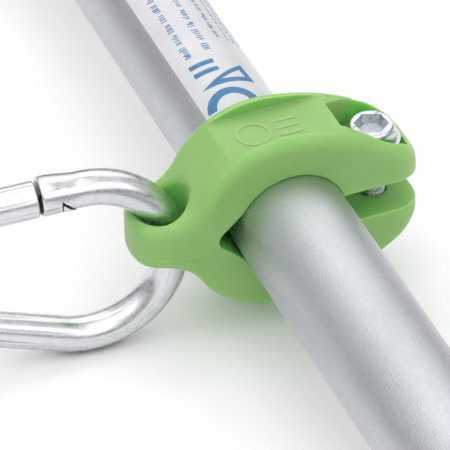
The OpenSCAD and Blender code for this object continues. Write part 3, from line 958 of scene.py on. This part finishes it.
film_left = math.radians(90 - STICKER_TO + 360) * TUBE_R
film_right = math.radians(90 - STICKER_FROM + 360) * TUBE_R
film_middle = (film_left + film_right) / 2
film_outline = bar(
    film_middle, (STICKER_LO + STICKER_HI) / 2, film_right - film_left, STICKER_HI - STICKER_LO, 1.2
)
film = flat_shapes(
    "sticker_film_sheet", [film_outline], round_tube(TUBE_R), FILM_THICK, (-12, 66)
)
film.data.shade_smooth()
film.data.set_sharp_from_angle(angle=math.radians(30))
place(film, "handle", FILM, "sticker_film", "tube_sticker")

# Generic print: an arch and a triangle beside the collar, two ticks, then rows of fine strokes.
rng = np.random.default_rng(7)


def strokes(u, start, end, height):
    """A row of thin upright strokes in groups along the tube, which stands for a line of print."""
    row = []
    v = start
    while v < end:
        for _ in range(rng.integers(3, 8)):
            tall = height * rng.uniform(0.55, 1)
            thick = height * rng.uniform(0.14, 0.26)
            row.append(bar(u + (height - tall) / 2, v, tall, thick, thick * 0.4))
            v += height * rng.uniform(0.3, 0.5)
        v += 0.6 * height
    return row


PRINT_END = 150
outer_triangle = [(-7.2, 34.6), (8.6, 34.0), (7.6, 42.4)]
inner_triangle = [(-0.6, 36.4), (6.6, 36.2), (6.1, 39.8)]
shapes = [
    ring(-1.6, 24.4, 6.4, 2.9, 5, 175),
    (outer_triangle, inner_triangle),
    bar(-3.1, 41.6, 7.4, 1.9, 0.3),
    bar(-3.1, 45.4, 7.4, 1.9, 0.3),
]
LARGE_ROWS = ((-5.2, 50, 2.2), (1.0, 51, 2.2), (6.6, 57, 1.5))
SMALL_ROWS = tuple((u, 56, 0.8) for u in (10, 12, 14))
for u, start, height in LARGE_ROWS + SMALL_ROWS:
    shapes += strokes(u, start, PRINT_END, height)
print_sheet = flat_shapes(
    "sticker_print", shapes, round_tube(TUBE_R + FILM_THICK - 0.02), 0.04, (-12, 20)
)
print_sheet.data.shade_smooth()
print_sheet.data.set_sharp_from_angle(angle=math.radians(30))
place(print_sheet, "handle", INK, "sticker_film")

# ---------------------------------------------------------------- floor, light and camera


def floor():
    p = Paint("floor_paper", Specular_IOR_Level=0.1)
    colour = p.colours(p.noise(0.05, 4.0), (0.3, (0.90, 0.90, 0.90)), (0.7, (0.93, 0.93, 0.93)))
    p.bump(p.noise(0.002, 4.0), 0.04, 0.0001)
    bm = bmesh.new()
    bmesh.ops.create_grid(bm, x_segments=2, y_segments=2, size=6)
    bm.transform(Matrix.Translation((AXIS.x, 0, cad_lo.z - 0.0002)))
    mesh = bpy.data.meshes.new("floor")
    bm.to_mesh(mesh)
    bm.free()
    obj = add("floor", mesh)
    mesh.materials.append(p.done(colour, p.range(p.noise(0.01, 3.0), 0.3, 0.7, 0.7, 0.8)))


floor()


def area_light(name, azimuth, elevation, distance, size, power, tint=(1, 1, 1)):
    a, e = math.radians(azimuth), math.radians(elevation)
    back = Vector((math.sin(a) * math.cos(e), -math.cos(a) * math.cos(e), math.sin(e)))
    data = bpy.data.lights.new(name, "AREA")
    data.shape = "RECTANGLE"
    data.size, data.size_y = size
    data.energy = power
    data.color = tint
    lamp = bpy.data.objects.new(name, data)
    lamp.location = AXIS + back * distance
    lamp.rotation_mode = "QUATERNION"
    lamp.rotation_quaternion = back.to_track_quat("Z", "Y")
    bpy.context.scene.collection.objects.link(lamp)


area_light("key", -75, 66, 1.8, (2.4, 2.4), 22)
area_light("fill", 20, 35, 2.0, (2.4, 1.2), 10)
area_light("back", 150, 45, 2.0, (2.4, 1.6), 10)

world = bpy.data.worlds.new("studio")
world.use_nodes = True
bpy.context.scene.world = world
tree = world.node_tree
sky = tree.nodes.new("ShaderNodeTexCoord")
split = tree.nodes.new("ShaderNodeSeparateXYZ")
bands = tree.nodes.new("ShaderNodeValToRGB")
scale = tree.nodes.new("ShaderNodeMapRange")
tree.links.new(sky.outputs["Generated"], split.inputs["Vector"])
tree.links.new(split.outputs["Z"], scale.inputs["Value"])
scale.inputs["From Min"].default_value = -1
tree.links.new(scale.outputs["Result"], bands.inputs["Fac"])
stops = ((0.0, 0.8), (0.5, 0.75), (0.55, 0.25), (0.6, 0.3), (0.68, 0.9), (1.0, 1.0))
while len(bands.color_ramp.elements) < len(stops):
    bands.color_ramp.elements.new(1.0)
for element, (position, level) in zip(bands.color_ramp.elements, stops):
    element.position = position
    element.color = (level, level, level, 1)
tree.links.new(bands.outputs["Color"], tree.nodes["Background"].inputs["Color"])
tree.nodes["Background"].inputs["Strength"].default_value = 0.75

LENS, SENSOR_WIDTH, CAMERA_DISTANCE = 373.45, 36, 1.27844
AIM = AXIS + Vector((-0.014341, 0.001055, -0.005672))
AZIMUTH, ELEVATION, ROLL = math.radians(-21.485), math.radians(38.488), math.radians(-1.148)
back = Vector(
    (
        math.sin(AZIMUTH) * math.cos(ELEVATION),
        -math.cos(AZIMUTH) * math.cos(ELEVATION),
        math.sin(ELEVATION),
    )
)
level = Vector((math.cos(AZIMUTH), math.sin(AZIMUTH), 0))
rise = back.cross(level)
right = level * math.cos(ROLL) + rise * math.sin(ROLL)
upward = rise * math.cos(ROLL) - level * math.sin(ROLL)
camera_data = bpy.data.cameras.new("camera")
camera_data.lens = LENS
camera_data.sensor_width = SENSOR_WIDTH
camera = bpy.data.objects.new("camera", camera_data)
turn = Matrix((right, upward, back)).transposed().to_4x4()
camera.matrix_world = Matrix.Translation(AIM + back * CAMERA_DISTANCE) @ turn
bpy.context.scene.collection.objects.link(camera)
bpy.context.scene.camera = camera
bpy.context.scene.view_settings.view_transform = "Standard"
